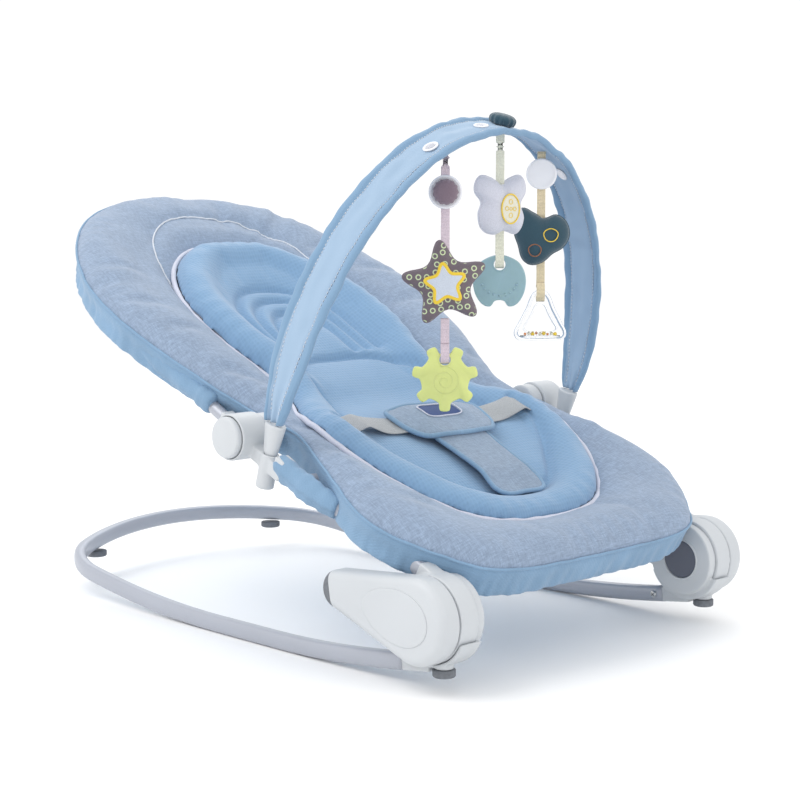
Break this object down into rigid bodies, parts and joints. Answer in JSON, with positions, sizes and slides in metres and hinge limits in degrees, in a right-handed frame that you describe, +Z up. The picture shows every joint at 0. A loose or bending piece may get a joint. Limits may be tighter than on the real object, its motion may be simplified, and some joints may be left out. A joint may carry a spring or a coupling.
{
  "type": "baby bouncer seat",
  "caption": "Reclining baby bouncer seat on a rocking tube base, with padded cover, reducer cushion, harness pad, stationary legs and a removable toy bar with hanging toys.",
  "frame": {"origin": "middle of the footprint on the floor", "axes": "+Y towards the head end, +Z up, +X to the right seen from the foot end"},
  "size_m": [0.569, 0.7999, 0.6106],
  "materials": {
    "painted_steel": "satin",
    "white_plastic": "fine satin",
    "grey_rubber": "matte",
    "dark_plastic": "satin",
    "bright_steel": "bright",
    "heather_fabric": "woven melange",
    "mesh_fabric": "spacer mesh",
    "plain_fabric": "plain weave",
    "webbing": "woven webbing",
    "black_plastic": "gloss",
    "white_ring": "gloss",
    "purple_fabric": "plush",
    "teal_fabric": "plush",
    "star_fabric": "printed cotton",
    "grey_fabric": "plush",
    "green_silicone": "soft silicone",
    "teal_silicone": "soft silicone",
    "clear_plastic": "clear"
  },
  "bodies": {
    "base": {"base_rail": "painted_steel", "base_knuckle_left": "white_plastic", "base_knuckle_right": "white_plastic", "hub_bolt_left": "bright_steel", "hub_bolt_right": "bright_steel", "rail_screw_left": "bright_steel", "rail_screw_right": "bright_steel", "front_foot_left": "grey_rubber", "front_foot_right": "grey_rubber", "rear_foot_left": "grey_rubber", "rear_foot_right": "grey_rubber"},
    "seat_frame": {"seat_knuckle_left": "white_plastic", "seat_knuckle_right": "white_plastic", "seat_tube_left": "painted_steel", "seat_tube_right": "painted_steel", "front_loop_tube": "painted_steel", "seat_cross_tube": "painted_steel", "side_bracket_left": "white_plastic", "side_bracket_right": "white_plastic", "recline_pin_left": "bright_steel", "recline_pin_right": "bright_steel", "recline_spring_left": "bright_steel", "recline_spring_right": "bright_steel", "seat_cover": "heather_fabric", "seat_reducer": "mesh_fabric", "crotch_pad": "heather_fabric", "waist_strap_left": "webbing", "waist_strap_right": "webbing", "buckle_body": "black_plastic", "buckle_tongue": "black_plastic"},
    "backrest": {"back_loop_tube": "painted_steel", "back_knuckle_left": "white_plastic", "back_knuckle_right": "white_plastic", "back_cover": "heather_fabric", "back_reducer": "mesh_fabric"},
    "leg_left": {"leg_shell_left": "white_plastic", "leg_tip_left": "grey_rubber"},
    "leg_right": {"leg_shell_right": "white_plastic", "leg_tip_right": "grey_rubber"},
    "fold_button_left": {"fold_button_left": "dark_plastic"},
    "fold_button_right": {"fold_button_right": "dark_plastic"},
    "recline_button_left": {"recline_button_left": "white_plastic"},
    "recline_button_right": {"recline_button_right": "white_plastic"},
    "toy_bar": {"arch_band": "plain_fabric", "arch_clip_left": "white_plastic", "arch_clip_right": "white_plastic", "middle_toy_pod": "teal_fabric"},
    "near_toy": {"star_plush": "star_fabric", "near_toy_ring": "white_ring", "near_toy_pod": "purple_fabric"},
    "near_teether": {"gear_teether": "green_silicone"},
    "middle_toy": {"butterfly_plush": "grey_fabric"},
    "middle_teether": {"round_teether": "teal_silicone"},
    "far_toy": {"bear_plush": "teal_fabric", "far_toy_ring": "white_ring"},
    "far_rattle": {"bell_rattle": "clear_plastic"}
  },
  "joints": [
    {"name": "seat_fold", "type": "hinge", "parent": "base", "child": "seat_frame", "pos_m": [0, -0.353, 0.078], "axis": [1, 0, 0], "range_deg": [-26, 0]},
    {"name": "recline", "type": "hinge", "parent": "seat_frame", "child": "backrest", "pos_m": [0, -0.07795, 0.24465], "axis": [1, 0, 0], "range_deg": [0, 33]},
    {"name": "leg_left_swing", "type": "hinge", "parent": "base", "child": "leg_left", "pos_m": [-0.238, -0.353, 0.078], "axis": [1, 0, 0], "range_deg": [-36, 0]},
    {"name": "leg_right_swing", "type": "hinge", "parent": "base", "child": "leg_right", "pos_m": [0.238, -0.353, 0.078], "axis": [1, 0, 0], "range_deg": [-36, 0]},
    {"name": "fold_button_left_press", "type": "slide", "parent": "base", "child": "fold_button_left", "axis": [-1, 0, 0], "range_m": [0, 0.0035], "stiffness_N_per_m": 300, "springref_m": -0.002},
    {"name": "fold_button_right_press", "type": "slide", "parent": "base", "child": "fold_button_right", "axis": [1, 0, 0], "range_m": [0, 0.0035], "stiffness_N_per_m": 300, "springref_m": -0.002},
    {"name": "recline_button_left_press", "type": "slide", "parent": "seat_frame", "child": "recline_button_left", "axis": [1, 0, 0], "range_m": [0, 0.004], "stiffness_N_per_m": 400, "springref_m": -0.002},
    {"name": "recline_button_right_press", "type": "slide", "parent": "seat_frame", "child": "recline_button_right", "axis": [-1, 0, 0], "range_m": [0, 0.004], "stiffness_N_per_m": 400, "springref_m": -0.002},
    {"name": "toy_bar_lift", "type": "slide", "parent": "seat_frame", "child": "toy_bar", "axis": [0, -0.2706, 0.9627], "range_m": [0, 0.06]},
    {"name": "near_toy_swing", "type": "hinge", "parent": "toy_bar", "child": "near_toy", "pos_m": [-0.07454, -0.21997, 0.57147], "axis": [0.7071, -0.7071, 0], "range_deg": [-12, 12]},
    {"name": "near_teether_swing", "type": "hinge", "parent": "near_toy", "child": "near_teether", "pos_m": [-0.07454, -0.21997, 0.32847], "axis": [-0.7071, -0.7071, 0], "range_deg": [-25, 25]},
    {"name": "middle_toy_swing", "type": "hinge", "parent": "toy_bar", "child": "middle_toy", "pos_m": [0.01283, -0.22396, 0.58567], "axis": [0.7071, -0.7071, 0], "range_deg": [-12, 12]},
    {"name": "middle_teether_swing", "type": "hinge", "parent": "middle_toy", "child": "middle_teether", "pos_m": [0.01283, -0.22396, 0.43467], "axis": [-0.7071, -0.7071, 0], "range_deg": [-25, 25]},
    {"name": "far_toy_swing", "type": "hinge", "parent": "toy_bar", "child": "far_toy", "pos_m": [0.09381, -0.21748, 0.56261], "axis": [0.7071, -0.7071, 0], "range_deg": [-12, 12]},
    {"name": "far_rattle_swing", "type": "hinge", "parent": "far_toy", "child": "far_rattle", "pos_m": [0.09381, -0.21748, 0.39261], "axis": [-0.7071, -0.7071, 0], "range_deg": [-25, 25]}
  ]
}
